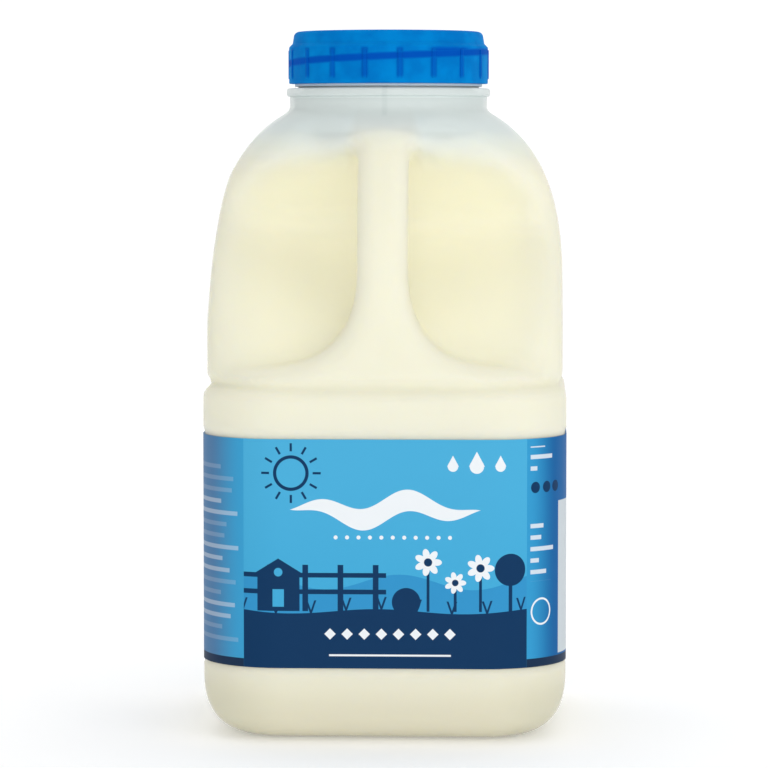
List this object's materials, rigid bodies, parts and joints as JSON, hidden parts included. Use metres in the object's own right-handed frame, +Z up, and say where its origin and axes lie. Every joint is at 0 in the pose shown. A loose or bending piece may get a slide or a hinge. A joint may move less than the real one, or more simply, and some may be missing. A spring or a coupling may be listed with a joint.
{
  "type": "plastic milk jug",
  "caption": "Square plastic milk jug with round corners, a column handle moulded over recessed grips, a ribbed screw cap, a sleeve label and milk up to the neck.",
  "frame": {"origin": "centre of the footprint, on the surface that the jug stands on", "axes": "+Z up to the cap, -Y towards the handle, +X to the right as seen from the handle's side"},
  "size_m": [0.0778, 0.0778, 0.1506],
  "materials": {
    "bottle_plastic": "cloudy natural polyethylene that lets the milk show through",
    "milk": "opaque cream-coloured liquid",
    "label_film": "printed sleeve film, satin",
    "cap_plastic": "moulded blue plastic, slightly see-through, satin"
  },
  "bodies": {
    "root": {"bottle": "bottle_plastic", "milk": "milk", "label": "label_film", "cap": "cap_plastic"}
  },
  "joints": []
}
